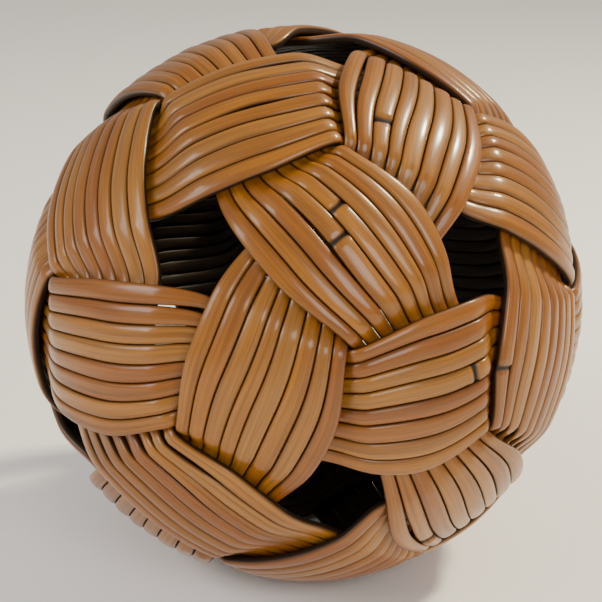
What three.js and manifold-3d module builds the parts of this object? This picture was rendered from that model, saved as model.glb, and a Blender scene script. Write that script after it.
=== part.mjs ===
// A hollow ball woven from cane. Six flat bands run round it like great circles, each band of eight
// strands side by side. They leave twelve five-sided holes and meet three at a time at twenty small
// junctions. Every band goes over the next and under the one after, all the way round.
import * as THREE from "three";
import { mergeVertices } from "three/addons/utils/BufferGeometryUtils.js";
import Module from "manifold-3d";

// Driving dimensions, in millimetres.
const MID_RADIUS = 64.4; // between the upper and the lower layer of strands
const LAYER_LIFT = 1.4; // an upper strand's middle above that, a lower one's below it
const STRAND_THICKNESS = 2.0;
const STRAND_WIDTH = 3.8; // at the flat inner face, where there is room for it
const STRAND_BEVEL = 0.7; // the outer face is this much narrower on each side
const STRAND_GAP = 0.4; // between neighbours in a band
const LOWER_GAP = 1.0; // the same where the band is pinched underneath
const JUNCTION_GAP = 0.7; // from the middle of a three-way junction to each band's edge
const CROWN = 0.3; // extra rise of an upper strand in the middle of a crossing
const RAMP_INSET = 0.4; // a strand starts to climb or dive this far inside a crossing
const LONG_STRETCH = 19; // a free stretch longer than this bends in its middle
const FOOT_DEPTH = 1.3; // shaved off the lowest strands, so that the ball stands still

// Driving angles, in degrees, seen from the middle of the ball.
const SPIN = 24; // of the whole weave about the upright axis
const UPPER_HALF_WIDTH = 15.5; // of a band where it lies on top
const LOWER_HALF_WIDTH = 12.8; // of a band where it is pinched underneath
const HOLE_RADIUS = 9;
const SNUG_HOLES = { "4up": 8, "5up": 7.5 }; // two holes that the weaver drew tighter

// The weave is hand made: each band leans east and north of its ideal plane, sits to one side of
// it and sways twice in a turn. All in degrees.
const BANDS = [
  { leanEast: 1.5, leanNorth: 3, shift: -0.5, swayCos: -0.5, swaySin: -0.5 },
  { leanEast: 0, leanNorth: -2.5, shift: 1, swayCos: -0.5, swaySin: 0 },
  { leanEast: -2.5, leanNorth: 3.5, shift: -0.5, swayCos: -0.5, swaySin: 0 },
  { leanEast: 1, leanNorth: 3, shift: 0.5, swayCos: -2, swaySin: 0 },
  { leanEast: -1.5, leanNorth: -1, shift: 4.5, swayCos: 0, swaySin: 0 },
  { leanEast: 3.5, leanNorth: 2.5, shift: 3.5, swayCos: 0, swaySin: 0.5 },
];
const STRANDS_PER_BAND = 8;
const BAND_COLOURS = ["#b47a3c", "#c58a3e", "#bb7d35", "#ad7136", "#c0843c", "#a96f3a"];

const { degToRad, radToDeg } = THREE.MathUtils;
const ICOSAHEDRAL_TILT = Math.atan(2); // between any two of the six ideal band axes
const DEGREES_PER_MM = radToDeg(1 / MID_RADIUS);
const SEARCH_SPAN = 28; // degrees from a crossing's middle to well clear of the other band
const BISECTIONS = 24;
const TOUCHING_COSINE = 0.75; // crossings nearer than this are neighbours in the weave
const RIM_COSINE = 0.8; // crossings nearer than this to a hole's axis lie on its rim

const wasm = await Module();
wasm.setup();

function cross(a, b) {
  return new THREE.Vector3().crossVectors(a, b);
}

function mean(points, weights = points.map(() => 1)) {
  const sum = new THREE.Vector3();
  points.forEach((p, i) => sum.addScaledVector(p, weights[i]));
  return sum.normalize();
}

function idealAxes() {
  const up = new THREE.Vector3(0, 0, 1);
  const axes = [up];
  for (let k = 0; k < 5; k++) {
    const azimuth = degToRad(SPIN + 72 * k);
    const radius = Math.sin(ICOSAHEDRAL_TILT);
    axes.push(
      new THREE.Vector3(
        radius * Math.cos(azimuth),
        radius * Math.sin(azimuth),
        Math.cos(ICOSAHEDRAL_TILT),
      ),
    );
  }
  return axes;
}

// A band's own map of the ball: theta runs along the band and latitude across it, in degrees.
class Band {
  constructor(index, axes) {
    const { leanEast, leanNorth, shift, swayCos, swaySin } = BANDS[index];
    const ideal = axes[index];
    const east = index === 0 ? new THREE.Vector3(1, 0, 0) : cross(axes[0], ideal).normalize();
    const north = cross(ideal, east);
    this.index = index;
    this.normal = ideal
      .clone()
      .addScaledVector(east, Math.tan(degToRad(leanEast)))
      .addScaledVector(north, Math.tan(degToRad(leanNorth)))
      .normalize();
    this.start = cross(axes[index === 0 ? 1 : 0], this.normal).normalize();
    this.quarter = cross(this.normal, this.start);
    this.centre = (theta) =>
      shift +
      swayCos * Math.cos(2 * degToRad(theta)) +
      swaySin * Math.sin(2 * degToRad(theta));
  }

  theta(point) {
    return (radToDeg(Math.atan2(point.dot(this.quarter), point.dot(this.start))) + 360) % 360;
  }

  latitude(point) {
    return radToDeg(Math.asin(THREE.MathUtils.clamp(point.dot(this.normal), -1, 1)));
  }

  direction(theta, latitude) {
    const along = degToRad(theta);
    const across = degToRad(latitude);
    return new THREE.Vector3()
      .addScaledVector(this.start, Math.cos(across) * Math.cos(along))
      .addScaledVector(this.quarter, Math.cos(across) * Math.sin(along))
      .addScaledVector(this.normal, Math.sin(across));
  }
}

// Where the middles of two bands cross, on the given side of the ball.
function crossingPoint(a, b, side) {
  const line = cross(a.normal, b.normal).normalize().multiplyScalar(side);
  const overlap = a.normal.dot(b.normal);
  let point = line.clone();
  for (let i = 0; i < 4; i++) {
    const fromA = Math.sin(degToRad(a.centre(a.theta(point))));
    const fromB = Math.sin(degToRad(b.centre(b.theta(point))));
    const share = 1 - overlap * overlap;
    const base = new THREE.Vector3()
      .addScaledVector(a.normal, (fromA - overlap * fromB) / share)
      .addScaledVector(b.normal, (fromB - overlap * fromA) / share);
    point = base.clone().addScaledVector(line, Math.sqrt(1 - base.lengthSq()));
  }
  return point;
}

// Going clockwise round a hole, each band lies over the one that follows it.
function upperBand(a, b, ideal, holes) {
  const near = holes.filter((h) => h.axis !== a && h.axis !== b);
  const hole = near.reduce((best, h) => (h.ideal.dot(ideal) > best.ideal.dot(ideal) ? h : best)).ideal;
  const clockwise = cross(ideal, hole);
  const inward = hole.clone().addScaledVector(ideal, -hole.dot(ideal));
  const way = cross(axes[a], ideal);
  way.multiplyScalar(Math.sign(way.dot(inward)));
  return way.dot(clockwise) > 0 ? b : a;
}

const axes = idealAxes();
const bands = axes.map((_, index) => new Band(index, axes));

const holes = axes.flatMap((axis, index) =>
  [1, -1].map((side) => ({
    axis: index,
    ideal: axis.clone().multiplyScalar(side),
    radius: SNUG_HOLES[index + (side > 0 ? "up" : "down")] ?? HOLE_RADIUS,
  })),
);

const crossings = [];
for (let a = 0; a < bands.length; a++) {
  for (let b = a + 1; b < bands.length; b++) {
    for (const side of [1, -1]) {
      const ideal = cross(axes[a], axes[b]).normalize().multiplyScalar(side);
      const upper = upperBand(a, b, ideal, holes);
      const point = crossingPoint(bands[a], bands[b], side);
      crossings.push({ pair: [a, b], ideal, point, upper });
    }
  }
}

for (const hole of holes) {
  const rim = crossings.filter((c) => !c.pair.includes(hole.axis) && c.ideal.dot(hole.ideal) > RIM_COSINE);
  hole.point = mean(rim.map((c) => c.point));
}

// A junction's middle is the in-centre of its three crossings.
function junctionOf(p, q, r) {
  const sides = [
    q.point.distanceTo(r.point),
    p.point.distanceTo(r.point),
    p.point.distanceTo(q.point),
  ];
  return {
    bands: [...new Set([...p.pair, ...q.pair, ...r.pair])],
    ideal: mean([p.ideal, q.ideal, r.ideal]),
    point: mean([p.point, q.point, r.point], sides),
  };
}

const touching = (p, q) => p.ideal.dot(q.ideal) > TOUCHING_COSINE;
const junctions = [];
crossings.forEach((p, i) =>
  crossings.slice(i + 1).forEach((q, j) => {
    if (!touching(p, q)) return;
    crossings.slice(i + j + 2).forEach((r) => {
      if (touching(p, r) && touching(q, r)) junctions.push(junctionOf(p, q, r));
    });
  }),
);

// A smooth closed curve of latitude against theta through the given knots.
function closedCurve(knots) {
  const sorted = [...knots].sort((p, q) => p[0] - q[0]);
  const count = sorted.length;
  const knot = (i) => {
    const turn = Math.floor(i / count);
    const [theta, value] = sorted[i - turn * count];
    return [theta + 360 * turn, value];
  };
  const slope = (i) => {
    const [before, low] = knot(i - 1);
    const [after, high] = knot(i + 1);
    return (high - low) / (after - before);
  };
  return (angle) => {
    const theta = ((angle % 360) + 360) % 360;
    let i = sorted.findIndex(([at]) => at > theta);
    i = i < 0 ? count - 1 : i - 1;
    const [from, low] = knot(i);
    const [to, high] = knot(i + 1);
    const span = to - from;
    const t = (theta - from) / span;
    return (
      low * (1 + 2 * t) * (1 - t) ** 2 +
      high * (3 - 2 * t) * t ** 2 +
      slope(i) * span * t * (1 - t) ** 2 -
      slope(i + 1) * span * t ** 2 * (1 - t)
    );
  };
}

// The edges bow out where the band is on top, are pinched where it is underneath, and swing from
// the junction on one side to the hole on the other in between.
function bandEdge(band, side) {
  const knots = [];
  for (const { pair, point, upper } of crossings) {
    if (!pair.includes(band.index)) continue;
    const theta = band.theta(point);
    const half = upper === band.index ? UPPER_HALF_WIDTH : LOWER_HALF_WIDTH;
    knots.push([theta, band.centre(theta) + side * half]);
  }
  for (const junction of junctions) {
    if (!junction.bands.includes(band.index)) continue;
    if (Math.sign(junction.ideal.dot(axes[band.index])) !== side) continue;
    const latitude = band.latitude(junction.point) - side * JUNCTION_GAP * DEGREES_PER_MM;
    knots.push([band.theta(junction.point), latitude]);
  }
  for (const hole of holes) {
    if (hole.axis === band.index) continue;
    if (Math.sign(hole.ideal.dot(axes[band.index])) !== side) continue;
    knots.push([band.theta(hole.point), band.latitude(hole.point) - side * hole.radius]);
  }
  return closedCurve(knots);
}

for (const band of bands) {
  band.low = bandEdge(band, -1);
  band.high = bandEdge(band, 1);
}

// How far a direction lies inside a band's edges, in degrees, and below zero outside them.
function depthInside(band, direction) {
  const theta = band.theta(direction);
  const latitude = band.latitude(direction);
  return Math.min(band.high(theta) - latitude, latitude - band.low(theta));
}

function strandLatitude(band, strand, theta) {
  const low = band.low(theta);
  const high = band.high(theta);
  return low + ((strand + 0.5) / STRANDS_PER_BAND) * (high - low);
}

// Theta where a strand comes out from over or under another band, from a crossing's middle.
function crossingEnd(band, strand, other, middle, way) {
  let inside = 0;
  let outside = SEARCH_SPAN;
  for (let i = 0; i < BISECTIONS; i++) {
    const trial = (inside + outside) / 2;
    const theta = middle + way * trial;
    const direction = band.direction(theta, strandLatitude(band, strand, theta));
    if (depthInside(other, direction) > 0) inside = trial;
    else outside = trial;
  }
  return middle + way * inside;
}

// The strand's corner points in one turn: in, middle and out at each crossing it lies over, in and
// out at each crossing it lies under, and halfway along a long free stretch beside a hole.
function strandStops(band, strand) {
  const passes = crossings
    .filter(({ pair }) => pair.includes(band.index))
    .map(({ pair, point, upper }) => {
      const other = bands[pair[0] === band.index ? pair[1] : pair[0]];
      const middle = band.theta(point);
      const inset = RAMP_INSET * DEGREES_PER_MM;
      return {
        entry: crossingEnd(band, strand, other, middle, -1) + inset,
        exit: crossingEnd(band, strand, other, middle, 1) - inset,
        lift: upper === band.index ? LAYER_LIFT : -LAYER_LIFT,
      };
    })
    .sort((p, q) => p.entry - q.entry);
  return passes.flatMap(({ entry, exit, lift }, i) => {
    const following = i + 1 < passes.length ? passes[i + 1].entry : passes[0].entry + 360;
    const stops = [{ theta: entry, lift }];
    if (lift > 0) stops.push({ theta: (entry + exit) / 2, lift: lift + CROWN });
    stops.push({ theta: exit, lift });
    if (following - exit > LONG_STRETCH * DEGREES_PER_MM) {
      stops.push({ theta: (exit + following) / 2, lift: 0 });
    }
    return stops;
  });
}

// One strand as a closed ring with a flat inner face, bevelled sides and a narrower outer face.
function strandGeometry(band, strand) {
  const stops = strandStops(band, strand);
  const centres = stops.map(({ theta, lift }) =>
    band.direction(theta, strandLatitude(band, strand, theta)).multiplyScalar(MID_RADIUS + lift),
  );
  const count = stops.length;
  const positions = [];
  centres.forEach((centre, i) => {
    const { theta, lift } = stops[i];
    const outward = centre.clone().normalize();
    const along = centres[(i + 1) % count].clone().sub(centres[(i + count - 1) % count]);
    along.addScaledVector(outward, -along.dot(outward)).normalize();
    const side = cross(outward, along);
    const squareOn = Math.abs(side.dot(band.normal)) / Math.cos(degToRad(band.latitude(outward)));
    const pitch = degToRad((band.high(theta) - band.low(theta)) / STRANDS_PER_BAND) * centre.length();
    const gap = lift < 0 ? LOWER_GAP : STRAND_GAP;
    const width = Math.min(STRAND_WIDTH, pitch * squareOn - gap);
    const corners = [
      [-width / 2, -STRAND_THICKNESS / 2],
      [width / 2, -STRAND_THICKNESS / 2],
      [width / 2 - STRAND_BEVEL, STRAND_THICKNESS / 2],
      [STRAND_BEVEL - width / 2, STRAND_THICKNESS / 2],
    ];
    for (const [across, out] of corners) {
      const corner = centre.clone().addScaledVector(side, across).addScaledVector(outward, out);
      positions.push(corner.x, corner.y, corner.z);
    }
  });
  const faces = [];
  for (let i = 0; i < count; i++) {
    const here = 4 * i;
    const next = 4 * ((i + 1) % count);
    for (let c = 0; c < 4; c++) {
      const d = (c + 1) % 4;
      faces.push(here + c, here + d, next + d, here + c, next + d, next + c);
    }
  }
  const geometry = new THREE.BufferGeometry();
  geometry.setAttribute("position", new THREE.Float32BufferAttribute(positions, 3));
  geometry.setIndex(faces);
  return geometry;
}

function toSolid(geometry) {
  const bare = geometry.clone();
  bare.deleteAttribute("normal");
  bare.deleteAttribute("uv");
  const merged = mergeVertices(bare);
  const vertProperties = new Float32Array(merged.attributes.position.array);
  const triVerts = new Uint32Array(merged.index.array);
  return new wasm.Manifold(new wasm.Mesh({ numProp: 3, vertProperties, triVerts }));
}

function toGeometry(solid) {
  const { vertProperties, triVerts } = solid.getMesh();
  const geometry = new THREE.BufferGeometry();
  geometry.setAttribute("position", new THREE.BufferAttribute(vertProperties, 3));
  geometry.setIndex(new THREE.BufferAttribute(triVerts, 1));
  return geometry;
}

// The ground shaves the strands round the lowest hole, which leaves the flats the ball stands on.
function shave(geometry, ground) {
  geometry.computeBoundingBox();
  const { min, max } = geometry.boundingBox;
  if (min.z > ground) return geometry;
  const height = ground - min.z + 1;
  const block = new THREE.BoxGeometry(max.x - min.x + 2, max.y - min.y + 2, height);
  block.translate((min.x + max.x) / 2, (min.y + max.y) / 2, ground - height / 2);
  return toGeometry(toSolid(geometry).subtract(toSolid(block)));
}

function buildBall() {
  const strands = bands.flatMap((band) =>
    Array.from({ length: STRANDS_PER_BAND }, (_, strand) => ({
      name: `band_${band.index + 1}_strand_${strand + 1}`,
      colour: BAND_COLOURS[band.index],
      geometry: strandGeometry(band, strand),
    })),
  );
  const lowest = Math.min(
    ...strands.map(({ geometry }) => {
      geometry.computeBoundingBox();
      return geometry.boundingBox.min.z;
    }),
  );
  const ball = new THREE.Group();
  for (const { name, colour, geometry } of strands) {
    const material = new THREE.MeshStandardMaterial({ color: colour, roughness: 0.35, metalness: 0 });
    const mesh = new THREE.Mesh(shave(geometry, lowest + FOOT_DEPTH), material);
    mesh.name = name;
    ball.add(mesh);
  }
  const box = new THREE.Box3().setFromObject(ball);
  ball.position.set(-(box.min.x + box.max.x) / 2, -(box.min.y + box.max.y) / 2, -box.min.z);
  return ball;
}

export default buildBall();
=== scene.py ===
"""The looks of a hollow ball woven from varnished split cane: 48 strands in six bands of eight."""

import math

import bpy
import numpy as np
from mathutils import Matrix, Vector


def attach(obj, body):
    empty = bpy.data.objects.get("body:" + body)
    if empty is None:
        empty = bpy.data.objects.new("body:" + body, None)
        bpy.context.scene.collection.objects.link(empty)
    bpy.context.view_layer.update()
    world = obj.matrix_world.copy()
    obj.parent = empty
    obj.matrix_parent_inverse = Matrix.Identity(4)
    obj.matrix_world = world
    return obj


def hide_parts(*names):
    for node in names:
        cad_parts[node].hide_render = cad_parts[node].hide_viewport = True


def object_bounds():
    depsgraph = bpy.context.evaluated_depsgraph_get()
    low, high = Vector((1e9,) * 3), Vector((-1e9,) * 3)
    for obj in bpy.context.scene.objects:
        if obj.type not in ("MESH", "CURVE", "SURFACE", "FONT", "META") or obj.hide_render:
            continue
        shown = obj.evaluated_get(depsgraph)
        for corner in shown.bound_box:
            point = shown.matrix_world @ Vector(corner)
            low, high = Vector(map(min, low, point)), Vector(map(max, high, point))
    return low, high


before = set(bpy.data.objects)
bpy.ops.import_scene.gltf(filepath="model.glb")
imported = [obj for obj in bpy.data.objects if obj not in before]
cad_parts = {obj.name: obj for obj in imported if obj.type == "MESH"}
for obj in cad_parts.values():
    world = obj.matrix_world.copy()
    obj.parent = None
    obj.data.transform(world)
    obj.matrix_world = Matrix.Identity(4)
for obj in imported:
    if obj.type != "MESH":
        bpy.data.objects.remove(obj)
cad_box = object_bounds()

# The bands, radii and half widths repeat those of the part's own source. The strands' section,
# width and gaps are finer here.

# Sizes in millimetres.
MID_RADIUS = 64.4
LAYER_LIFT = 1.4
CROWN = 0.3
JUNCTION_GAP = 0.7
STRAND_THICKNESS = 2.2
STRAND_WIDTH = 5.6
STRAND_GAP = 0.1
RAMP_INSET = 0.3
BALL_CENTRE = (-0.03, 0.15, 63.94)

# Angles in degrees, seen from the middle of the ball.
SPIN = 24
UPPER_HALF_WIDTH = 15.5
LOWER_HALF_WIDTH = 12.8
HOLE_RADIUS = 9
SNUG_HOLES = {(4, 1): 8, (5, 1): 7.5}
# Each band: lean east, lean north, shift to one side, and sway twice in a turn.
BANDS = [
    (1.5, 3, -0.5, -0.5, -0.5),
    (0, -2.5, 1, -0.5, 0),
    (-2.5, 3.5, -0.5, -0.5, 0),
    (1, 3, 0.5, -2, 0),
    (-1.5, -1, 4.5, 0, 0),
    (3.5, 2.5, 3.5, 0, 0.5),
]
STRANDS_PER_BAND = 8
# How far a strand's turns are moved from beside a pass to under it.
EDGE_PULL = 2.0
MIDDLE_PULL = 4.5

# Strands that stand apart: band, the seam that opens, its middle and its reach along in degrees,
# and its width in millimetres. Bands, seams and strands are counted from 0.
OPEN_SEAMS = [
    (2, 7, 84, 9, 1.3),
    (2, 4, 79, 6, 0.8),
    (0, 7, 322, 9, 1.2),
    (3, 7, 70, 9, 0.7),
    (1, 1, 210, 6, 0.6),
    (5, 7, 201, 7, 1.2),
    (5, 5, 206, 8, 0.5),
    (1, 3, 144, 8, 0.5),
]
# Where a strand's two ends meet: band, strand, and theta in degrees.
JOINTS = [
    (1, 4, 139.5),
    (1, 3, 144.8),
    (0, 4, 9.9),
    (1, 1, 217.9),
    (3, 5, 61.7),
    (4, 7, 355.6),
    (2, 2, 262),
    (5, 3, 30),
]
# At a joint the ends differ in height by twice the step, in millimetres, which fades in degrees.
JOINT_STEP = 0.3
JOINT_FADE = 4
JOINT_HALF_SLIT = 0.5
# The slit's thickness and width as shares of the strand's, and how much dirt lies in it.
JOINT_THICKNESS = 0.35
JOINT_WIDTH = 0.94
JOINT_GRIME = 0.6

# Unevenness: of a seam as a share of the band, of lift and thickness in millimetres, of roll in degrees.
SEAM_OFFSET = 0.012
SEAM_WAVER = 0.005
LIFT_WAVER = 0.06
THICKNESS_WAVER = 0.03
ROLL_WAVER = 1.6
WAVES_IN_A_TURN = (2, 3, 5, 7, 11)

# The right half of a strand's section from the inside out, as shares of half its width and half
# its thickness: flat within, a low dome outside.
HALF_SECTION = [
    (0.7, -1.0),
    (0.93, -0.7),
    (1.0, -0.15),
    (1.0, 0.2),
    (0.95, 0.52),
    (0.84, 0.72),
    (0.6, 0.88),
    (0.25, 0.98),
]

SEARCH_SPAN = 28
BISECTIONS = 22
CROSSING_ROUNDS = 4
TOUCHING_COSINE = 0.75
RIM_COSINE = 0.8
STEPS = 420  # along a strand
THETA = np.linspace(0, 360, STEPS, endpoint=False)
MM = 0.001
DEGREES_PER_MM = math.degrees(1 / MID_RADIUS)
GRAIN_SHIFT = 0.013  # metres of grain between one strand and the next

PALE = (0.35, 0.13, 0.008)
DEEP = (0.24, 0.078, 0.004)
GOLDEN = (0.36, 0.17, 0.035)
RUSSET = (0.21, 0.055, 0.008)
# Nearly black: painted shade on the strands' sides and inner faces, and real grime in the joints.
PAINTED_SHADE_AND_GRIME = (0.022, 0.012, 0.006)


def unit(vector):
    return vector / np.linalg.norm(vector)


def ideal_axes():
    tilt = math.atan(2)
    axes = [np.array([0.0, 0.0, 1.0])]
    for k in range(5):
        azimuth = math.radians(SPIN + 72 * k)
        flat = math.sin(tilt)
        axes.append(np.array([flat * math.cos(azimuth), flat * math.sin(azimuth), math.cos(tilt)]))
    return axes


class Band:
    """A band's own map of the ball: theta runs along it and latitude across it, in degrees."""

    def __init__(self, index, axes):
        lean_east, lean_north, self.shift, self.sway_cos, self.sway_sin = BANDS[index]
        ideal = axes[index]
        east = unit(np.cross(axes[0], ideal)) if index else np.array([1.0, 0.0, 0.0])
        north = np.cross(ideal, east)
        lean = east * math.tan(math.radians(lean_east)) + north * math.tan(math.radians(lean_north))
        self.index = index
        self.normal = unit(ideal + lean)
        self.start = unit(np.cross(axes[0 if index else 1], self.normal))
        self.quarter = np.cross(self.normal, self.start)

    def centre(self, theta):
        double = 2 * np.radians(theta)
        return self.shift + self.sway_cos * np.cos(double) + self.sway_sin * np.sin(double)

    def theta(self, point):
        return np.degrees(np.arctan2(point @ self.quarter, point @ self.start)) % 360

    def latitude(self, point):
        return np.degrees(np.arcsin(np.clip(point @ self.normal, -1, 1)))

    def direction(self, theta, latitude):
        along = np.radians(theta)
        across = np.radians(latitude)
        return (
            np.multiply.outer(np.cos(across) * np.cos(along), self.start)
            + np.multiply.outer(np.cos(across) * np.sin(along), self.quarter)
            + np.multiply.outer(np.sin(across), self.normal)
        )


def crossing_point(a, b, side):
    line = unit(np.cross(a.normal, b.normal)) * side
    overlap = a.normal @ b.normal
    point = line
    for _ in range(CROSSING_ROUNDS):
        from_a = math.sin(math.radians(a.centre(a.theta(point))))
        from_b = math.sin(math.radians(b.centre(b.theta(point))))
        share = 1 - overlap * overlap
        base = (a.normal * (from_a - overlap * from_b) + b.normal * (from_b - overlap * from_a)) / share
        point = base + line * math.sqrt(1 - base @ base)
    return point


def upper_band(a, b, ideal, holes, axes):
    """Going clockwise round a hole, each band lies over the one that follows it."""
    near = [h for h in holes if h["axis"] not in (a, b)]
    hole = max(near, key=lambda h: h["ideal"] @ ideal)["ideal"]
    clockwise = np.cross(ideal, hole)
    inward = hole - (hole @ ideal) * ideal
    way = np.cross(axes[a], ideal)
    way = way * np.sign(way @ inward)
    return b if way @ clockwise > 0 else a


def closed_curve(knots):
    """A smooth closed curve of latitude against theta through the knots, for arrays of theta."""
    knots = np.array(sorted(knots))
    x = np.concatenate([knots[-2:, 0] - 360, knots[:, 0], knots[:2, 0] + 360])
    y = np.concatenate([knots[-2:, 1], knots[:, 1], knots[:2, 1]])
    slope = np.gradient(y)
    slope[1:-1] = (y[2:] - y[:-2]) / (x[2:] - x[:-2])

    def curve(theta):
        theta = np.asarray(theta, float) % 360
        i = np.searchsorted(x, theta, side="right") - 1
        span = x[i + 1] - x[i]
        t = (theta - x[i]) / span
        return (
            y[i] * (1 + 2 * t) * (1 - t) ** 2
            + y[i + 1] * (3 - 2 * t) * t**2
            + slope[i] * span * t * (1 - t) ** 2
            - slope[i + 1] * span * t**2 * (1 - t)
        )

    return curve


def weave():
    """The six bands with their edges, and where they cross."""
    axes = ideal_axes()
    bands = [Band(i, axes) for i in range(6)]
    holes = [
        {"axis": i, "ideal": axis * side, "radius": SNUG_HOLES.get((i, side), HOLE_RADIUS)}
        for i, axis in enumerate(axes)
        for side in (1, -1)
    ]
    crossings = []
    for a in range(6):
        for b in range(a + 1, 6):
            for side in (1, -1):
                ideal = unit(np.cross(axes[a], axes[b])) * side
                crossings.append({
                    "pair": (a, b),
                    "ideal": ideal,
                    "point": crossing_point(bands[a], bands[b], side),
                    "upper": upper_band(a, b, ideal, holes, axes),
                })
    for hole in holes:
        rim = [
            c["point"]
            for c in crossings
            if hole["axis"] not in c["pair"] and c["ideal"] @ hole["ideal"] > RIM_COSINE
        ]
        hole["point"] = unit(sum(rim))
    junctions = find_junctions(crossings)
    for band in bands:
        band.low = band_edge(band, -1, axes, crossings, junctions, holes)
        band.high = band_edge(band, 1, axes, crossings, junctions, holes)
    return bands, crossings


def find_junctions(crossings):
    def touching(p, q):
        return p["ideal"] @ q["ideal"] > TOUCHING_COSINE

    found = []
    for i, p in enumerate(crossings):
        for j, q in enumerate(crossings[:i]):
            for r in crossings[:j]:
                if not (touching(p, q) and touching(q, r) and touching(p, r)):
                    continue
                corners = [c["point"] for c in (p, q, r)]
                weights = [np.linalg.norm(corners[k - 2] - corners[k - 1]) for k in range(3)]
                found.append({
                    "bands": set(p["pair"] + q["pair"] + r["pair"]),
                    "ideal": unit(p["ideal"] + q["ideal"] + r["ideal"]),
                    "point": unit(sum(c * w for c, w in zip(corners, weights))),
                })
    return found


def band_edge(band, side, axes, crossings, junctions, holes):
    knots = []
    axis = axes[band.index]
    for c in crossings:
        if band.index in c["pair"]:
            theta = float(band.theta(c["point"]))
            half = UPPER_HALF_WIDTH if c["upper"] == band.index else LOWER_HALF_WIDTH
            knots.append((theta, float(band.centre(theta)) + side * half))
    for j in junctions:
        if band.index in j["bands"] and np.sign(j["ideal"] @ axis) == side:
            latitude = float(band.latitude(j["point"])) - side * JUNCTION_GAP * DEGREES_PER_MM
            knots.append((float(band.theta(j["point"])), latitude))
    for h in holes:
        if h["axis"] != band.index and np.sign(h["ideal"] @ axis) == side:
            latitude = float(band.latitude(h["point"])) - side * h["radius"]
            knots.append((float(band.theta(h["point"])), latitude))
    return closed_curve(knots)


def straightened(band, crossings, theta, pull):
    """Theta moved towards the nearest pass over another band, so that the turns fall under the passes."""
    marks = []
    for c in crossings:
        if band.index in c["pair"]:
            marks.append((float(band.theta(c["point"])), c["upper"] == band.index))
    marks.sort()
    places = [m[0] for m in marks]
    first = 0 if marks[0][1] else 180
    places = [places[-1] - 360] + places + [places[0] + 360]
    phases = [first + 180 * k for k in range(-1, len(places) - 1)]
    return theta - pull * np.sin(np.radians(np.interp(theta, places, phases)))


def waver(rng, theta, size):
    """A small smooth unevenness that closes on itself after one turn."""
    total = 0
    for waves in WAVES_IN_A_TURN:
        total = total + np.sin(waves * np.radians(theta) + rng.uniform(0, 2 * np.pi)) / math.sqrt(waves)
    return size * total


def make_seams(band, crossings):
    """The nine lines between and beside a band's strands, as latitudes along the band."""
    rng = np.random.default_rng(40 + band.index)
    lines = []
    for k in range(STRANDS_PER_BAND + 1):
        share = k / STRANDS_PER_BAND
        inner = min(1.0, 4 * share * (1 - share))
        offset = rng.uniform(-SEAM_OFFSET, SEAM_OFFSET)
        share = share + inner * (offset + waver(rng, THETA, SEAM_WAVER))
        pull = EDGE_PULL + (MIDDLE_PULL - EDGE_PULL) * inner
        place = straightened(band, crossings, THETA, pull)
        low, high = band.low(place), band.high(place)
        lines.append(low + share * (high - low))
    return np.array(lines)


def along_band(values, theta):
    """The value at any theta of a line that is known at each step."""
    return np.interp(np.asarray(theta) % 360, np.append(THETA, 360), np.append(values, values[0]))


def strand_latitude(band, strand, theta):
    return along_band((band.seams[strand] + band.seams[strand + 1]) / 2, theta)


def crossing_end(band, strand, other, middle, way):
    """Theta where a strand comes out from over or under another band."""
    inside, outside = 0.0, float(SEARCH_SPAN)
    for _ in range(BISECTIONS):
        trial = (inside + outside) / 2
        theta = middle + way * trial
        direction = band.direction(theta, strand_latitude(band, strand, theta))
        other_theta = other.theta(direction)
        low, high = (along_band(other.seams[edge], other_theta) for edge in (0, -1))
        if low < other.latitude(direction) < high:
            inside = trial
        else:
            outside = trial
    return middle + way * inside


def crossing_passes(band, strand, bands, crossings):
    """Each pass over or under another band: where it begins and ends, and its lift."""
    inset = RAMP_INSET * DEGREES_PER_MM
    passes = []
    for c in crossings:
        if band.index in c["pair"]:
            other = bands[sum(c["pair"]) - band.index]
            middle = float(band.theta(c["point"]))
            entry = crossing_end(band, strand, other, middle, -1) + inset
            leave = crossing_end(band, strand, other, middle, 1) - inset
            lift = LAYER_LIFT if c["upper"] == band.index else -LAYER_LIFT
            passes.append((entry, leave, lift))
    return sorted(passes)


def lift_profile(band, strand, bands, crossings, theta):
    """How far a strand's middle lies above the middle radius, in millimetres."""
    passes = crossing_passes(band, strand, bands, crossings)
    turns = [(e + 360 * k, x + 360 * k, lift) for k in (-1, 0, 1) for e, x, lift in passes]
    height = np.zeros_like(theta)
    for (entry, leave, lift), (following, _, next_lift) in zip(turns, turns[1:]):
        on = (theta >= entry) & (theta <= leave)
        along = (theta[on] - entry) / (leave - entry)
        height[on] = lift + (CROWN * np.sin(np.pi * along) if lift > 0 else 0)
        free = (theta > leave) & (theta < following)
        along = (theta[free] - leave) / (following - leave)
        height[free] = lift + (next_lift - lift) * along * along * (3 - 2 * along)
    return height


def apart(from_theta, to_theta):
    """The turn between two thetas, from -180 to 180 degrees."""
    return (to_theta - from_theta + 180) % 360 - 180


def opening(band, seam, theta):
    """How wide the gap along a seam is, in millimetres."""
    gap = np.full_like(theta, STRAND_GAP)
    for where, which, middle, reach, width in OPEN_SEAMS:
        if (where, which) == (band.index, seam):
            gap += width * np.exp(-((apart(middle, theta) / reach) ** 2))
    return gap


def joints(band, strand):
    return [theta for where, which, theta in JOINTS if (where, which) == (band.index, strand)]


def joint_lift(band, strand, theta):
    """The small step in height between a strand's two ends."""
    lift = np.zeros_like(theta)
    for joint in joints(band, strand):
        turn = apart(joint, theta)
        beside = np.abs(turn) > JOINT_HALF_SLIT
        lift += JOINT_STEP * np.exp(-np.abs(turn) / JOINT_FADE) * np.sign(turn) * beside
    return lift


def unit_rows(vectors):
    return vectors / np.linalg.norm(vectors, axis=1)[:, None]


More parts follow.
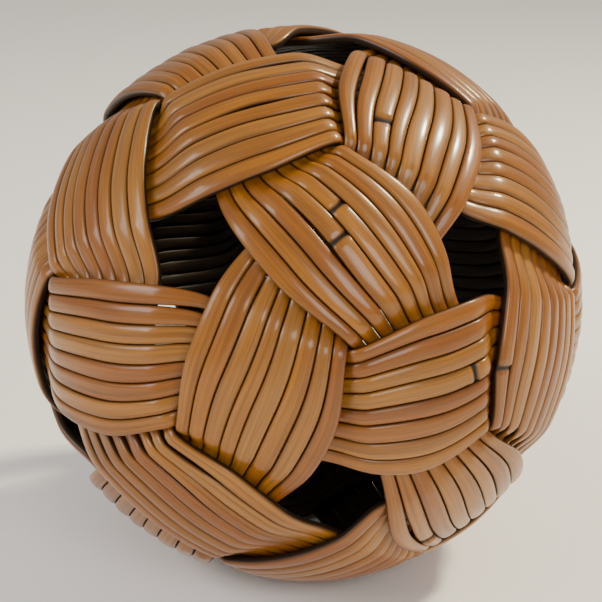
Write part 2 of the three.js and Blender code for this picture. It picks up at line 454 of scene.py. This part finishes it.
def grain_distance(band, crossings, centre):
    """Metres along the cane at both ends of each step, from a place that another band hides."""
    step = np.linalg.norm(np.roll(centre, -1, 0) - centre, axis=1) * MM
    hidden = next(c["point"] for c in crossings if band.index in c["pair"] and c["upper"] != band.index)
    first = np.argmin(np.abs(apart(float(band.theta(hidden)), THETA)))
    from_first = np.roll(step, -first)
    start = np.roll(np.cumsum(from_first) - from_first, first)
    return np.stack([start, start + step])


def make_strand(band, strand, bands, crossings):
    rng = np.random.default_rng(100 * band.index + strand)
    under, over = band.seams[strand], band.seams[strand + 1]
    open_under = opening(band, strand, THETA) / 2
    open_over = opening(band, strand + 1, THETA) / 2
    latitude = (under + over) / 2 + (open_under - open_over) / 2 * DEGREES_PER_MM
    lift = lift_profile(band, strand, bands, crossings, THETA) + waver(rng, THETA, LIFT_WAVER)
    lift += joint_lift(band, strand, THETA)
    outward = band.direction(THETA, latitude)
    centre = outward * (MID_RADIUS + lift)[:, None]
    along = unit_rows(np.roll(centre, -1, 0) - np.roll(centre, 1, 0))
    side = unit_rows(np.cross(outward, along))
    square_on = np.abs(side @ band.normal) / np.cos(np.radians(latitude))
    pitch = np.radians(over - under) * (MID_RADIUS + lift)
    width = np.minimum(STRAND_WIDTH, pitch * square_on - open_under - open_over)
    thickness = STRAND_THICKNESS + waver(rng, THETA, THICKNESS_WAVER)
    roll = np.radians(waver(rng, THETA, ROLL_WAVER))
    across, out = np.array(HALF_SECTION + [(-x, y) for x, y in HALF_SECTION[::-1]]).T
    x = np.multiply.outer(width / 2, across)
    y = np.multiply.outer(thickness / 2, out)
    grime = cut_joints(band, strand, x, y)
    points = sweep(centre, side, np.cross(along, side), x, y, roll)
    distance = grain_distance(band, crossings, centre)
    # Painted shade: from 0 on the outer face to 1 on the inner face, so the sides and insides of the
    # strands come out dark; at each joint it also holds the real grime in the slit.
    shade_and_grime = np.maximum((1 - out)[None] / 2, grime[:, None])
    return strand_mesh(band, strand, points, distance, across * width.mean() * MM / 2, shade_and_grime)


def cut_joints(band, strand, x, y):
    """Pinches the section at each joint, and says how much dirt each step of the strand holds."""
    grime = np.zeros(len(x))
    for joint in joints(band, strand):
        at = np.argmin(np.abs(apart(joint, THETA)))
        y[at] *= JOINT_THICKNESS
        x[at] *= JOINT_WIDTH
        grime[at] = JOINT_GRIME
    return grime


def sweep(centre, side, up, x, y, roll):
    """The section's points along the strand in metres, with nothing below the floor."""
    cosine, sine = np.cos(roll)[:, None], np.sin(roll)[:, None]
    sideways = (x * cosine - y * sine)[..., None] * side[:, None]
    upwards = (x * sine + y * cosine)[..., None] * up[:, None]
    points = (centre[:, None] + sideways + upwards + np.array(BALL_CENTRE)) * MM
    points[..., 2] = np.maximum(points[..., 2], 0)
    return points


def strand_mesh(band, strand, points, distance, across, shade_and_grime):
    name = f"cane_{band.index + 1}_{strand + 1}"
    steps, sides = points.shape[:2]
    mesh = bpy.data.meshes.new(name)
    i, j = np.meshgrid(np.arange(steps), np.arange(sides), indexing="ij")
    next_i, next_j = (i + 1) % steps, (j + 1) % sides
    quads = np.stack([i * sides + j, i * sides + next_j, next_i * sides + next_j, next_i * sides + j], -1)
    mesh.from_pydata(points.reshape(-1, 3).tolist(), [], quads.reshape(-1, 4).tolist())
    mesh.polygons.foreach_set("use_smooth", [True] * len(mesh.polygons))
    # u is the distance along the cane, v the place across it, both in metres.
    shift = GRAIN_SHIFT * (band.index * STRANDS_PER_BAND + strand)
    start, end = distance[0][i], distance[1][i]
    u = np.stack([start, start, end, end], -1) + shift / 2
    v = across[np.stack([j, next_j, next_j, j], -1)] + shift
    uv = mesh.uv_layers.new(name="cane")
    uv.data.foreach_set("uv", np.stack([u, v], -1).reshape(-1).astype(np.float32))
    tint = np.random.default_rng(7 + 8 * band.index + strand).uniform(0, 1)
    for label, values in (("shade_and_grime", shade_and_grime), ("tint", np.full((steps, sides), tint))):
        layer = mesh.attributes.new(label, "FLOAT", "POINT")
        layer.data.foreach_set("value", values.reshape(-1).astype(np.float32))
    mesh.validate()
    piece = bpy.data.objects.new(name, mesh)
    bpy.context.scene.collection.objects.link(piece)
    return piece


class Nodes:
    """Short words for building a material's node tree."""

    def __init__(self, name):
        self.material = bpy.data.materials.new(name)
        self.material.use_nodes = True
        self.tree = self.material.node_tree
        self.shader = self.tree.nodes["Principled BSDF"]

    def add(self, kind, **settings):
        """A node with its inputs, or else its own properties, set by name."""
        node = self.tree.nodes.new(kind)
        for key, value in settings.items():
            if key in node.inputs:
                node.inputs[key].default_value = value
            else:
                setattr(node, key, value)
        return node

    def link(self, source, target):
        self.tree.links.new(source, target)

    def attribute(self, name):
        return self.add("ShaderNodeAttribute", attribute_name=name).outputs["Fac"]

    def noise(self, place, along, across, detail, roughness):
        """Noise with so many features to the metre along the cane and across it."""
        stretch = self.add("ShaderNodeMapping", Scale=(along, across, 1))
        self.link(place, stretch.inputs["Vector"])
        node = self.add("ShaderNodeTexNoise", Scale=1.0, Detail=detail, Roughness=roughness)
        self.link(stretch.outputs["Vector"], node.inputs["Vector"])
        return node.outputs["Fac"]

    def mix(self, amount, first, second):
        """The first colour turned into the second by an amount; a colour is three numbers or a socket."""
        node = self.add("ShaderNodeMix", data_type="RGBA")
        self.link(amount, node.inputs[0])
        for socket, colour in ((node.inputs[6], first), (node.inputs[7], second)):
            if isinstance(colour, bpy.types.NodeSocket):
                self.link(colour, socket)
            else:
                socket.default_value = (*colour, 1)
        return node.outputs[2]

    def spread(self, value, low, high, to_low=0.0, to_high=1.0):
        """The value with its range from low to high stretched to another range."""
        ends = {"From Min": low, "From Max": high, "To Min": to_low, "To Max": to_high}
        node = self.add("ShaderNodeMapRange", **ends)
        self.link(value, node.inputs["Value"])
        return node.outputs["Result"]


def darker(colour, share):
    return tuple(c * share for c in colour)


def cane_material():
    """Split cane under clear varnish: long grain, streaks, and painted shade that darkens the strands
    towards the inside of the ball, with real grime at the joints.
    """
    n = Nodes("varnished_cane")
    place = n.add("ShaderNodeUVMap", uv_map="cane").outputs["UV"]
    streak = n.noise(place, 12, 1100, 4, 0.65)
    grain = n.noise(place, 60, 5200, 3, 0.6)
    blotch = n.noise(place, 30, 160, 4, 0.6)
    tint = n.attribute("tint")
    shade_and_grime = n.attribute("shade_and_grime")
    colour = n.mix(n.spread(blotch, 0.35, 0.65), PALE, DEEP)
    colour = n.mix(n.spread(tint, 0, 0.5, 0.5, 0), colour, GOLDEN)
    colour = n.mix(n.spread(tint, 0.6, 1, 0, 0.6), colour, RUSSET)
    colour = n.mix(n.spread(streak, 0.42, 0.72, 0, 0.75), colour, darker(DEEP, 0.4))
    colour = n.mix(n.spread(grain, 0.5, 0.8, 0, 0.4), colour, darker(DEEP, 0.5))
    # Painted shade: the strands' sides and inner faces turn nearly black, with real grime at the joints.
    colour = n.mix(n.spread(shade_and_grime, 0.1, 0.45), colour, PAINTED_SHADE_AND_GRIME)
    shader = n.shader.inputs
    n.link(colour, shader["Base Color"])
    n.link(n.spread(blotch, 0.3, 0.7, 0.36, 0.5), shader["Roughness"])
    shader["Specular IOR Level"].default_value = 0.22
    n.link(n.spread(shade_and_grime, 0.15, 0.5, 0.6, 0), shader["Coat Weight"])
    n.link(n.spread(streak, 0.3, 0.7, 0.1, 0.3), shader["Coat Roughness"])
    bump = n.add("ShaderNodeBump", Strength=0.35, Distance=0.0003)
    n.link(grain, bump.inputs["Height"])
    n.link(bump.outputs["Normal"], shader["Normal"])
    return n.material


def add_camera():
    """The camera looks down on the ball from the front, a little rolled."""
    elevation, roll = math.radians(20), math.radians(1)
    radii_away = 6.0
    radius_share = 0.46312  # the ball's radius as a share of the picture's width
    right_share, down_share = 0.00465, 0.00299  # the ball's middle from the picture's
    ball_radius = (cad_box[1][0] - cad_box[0][0]) / 2
    forward = Vector((0, math.cos(elevation), -math.sin(elevation)))
    level = Vector((1, 0, 0))
    upright = level.cross(forward)
    right = level * math.cos(roll) + upright * math.sin(roll)
    up = upright * math.cos(roll) - level * math.sin(roll)
    data = bpy.data.cameras.new("camera")
    data.sensor_width = 36
    data.lens = data.sensor_width * radius_share * math.sqrt(radii_away**2 - 1)
    data.shift_x = -right_share
    data.shift_y = down_share
    camera = bpy.data.objects.new("camera", data)
    turn = Matrix((right, up, -forward)).transposed().to_4x4()
    place = Vector(BALL_CENTRE) * MM - forward * radii_away * ball_radius
    camera.matrix_world = Matrix.Translation(place) @ turn
    bpy.context.scene.collection.objects.link(camera)
    bpy.context.scene.camera = camera


def add_light(name, place, size, power, colour):
    """A square soft light that faces the ball."""
    data = bpy.data.lights.new(name, "AREA")
    data.shape = "SQUARE"
    data.size = size
    data.energy = power
    data.color = colour
    light = bpy.data.objects.new(name, data)
    aim = Vector(BALL_CENTRE) * MM - Vector(place)
    light.location = place
    light.rotation_euler = aim.to_track_quat("-Z", "Y").to_euler()
    bpy.context.scene.collection.objects.link(light)


def add_floor():
    """A plain pale floor, just under the ball's lowest faces so that the two don't flicker."""
    half = 3.0
    corners = [(-half, -half, 0), (half, -half, 0), (half, half, 0), (-half, half, 0)]
    mesh = bpy.data.meshes.new("floor")
    mesh.from_pydata(corners, [], [(0, 1, 2, 3)])
    floor = bpy.data.objects.new("floor", mesh)
    floor.location.z = -0.0002
    paint = Nodes("pale_floor")
    paint.shader.inputs["Base Color"].default_value = (0.95, 0.95, 0.95, 1)
    paint.shader.inputs["Roughness"].default_value = 0.9
    mesh.materials.append(paint.material)
    bpy.context.scene.collection.objects.link(floor)


def add_world():
    world = bpy.data.worlds.new("studio")
    world.use_nodes = True
    background = world.node_tree.nodes["Background"]
    background.inputs["Color"].default_value = (1, 0.95, 0.87, 1)
    background.inputs["Strength"].default_value = 0.42
    bpy.context.scene.world = world


def add_ball():
    cane = cane_material()
    bands, crossings = weave()
    for band in bands:
        band.seams = make_seams(band, crossings)
    for band in bands:
        for strand in range(STRANDS_PER_BAND):
            piece = make_strand(band, strand, bands, crossings)
            piece.data.materials.append(cane)
            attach(piece, "root")
            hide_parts(f"band_{band.index + 1}_strand_{strand + 1}")


add_camera()
add_floor()
add_world()
add_light("key", (0.47, 0.2, 0.64), 0.09, 8, (1, 0.88, 0.62))
add_light("left_window", (-0.75, -0.35, 0.55), 0.5, 6, (1, 0.97, 0.95))
add_light("front", (0.35, -0.8, 0.5), 0.4, 4, (1, 0.95, 0.9))
add_ball()
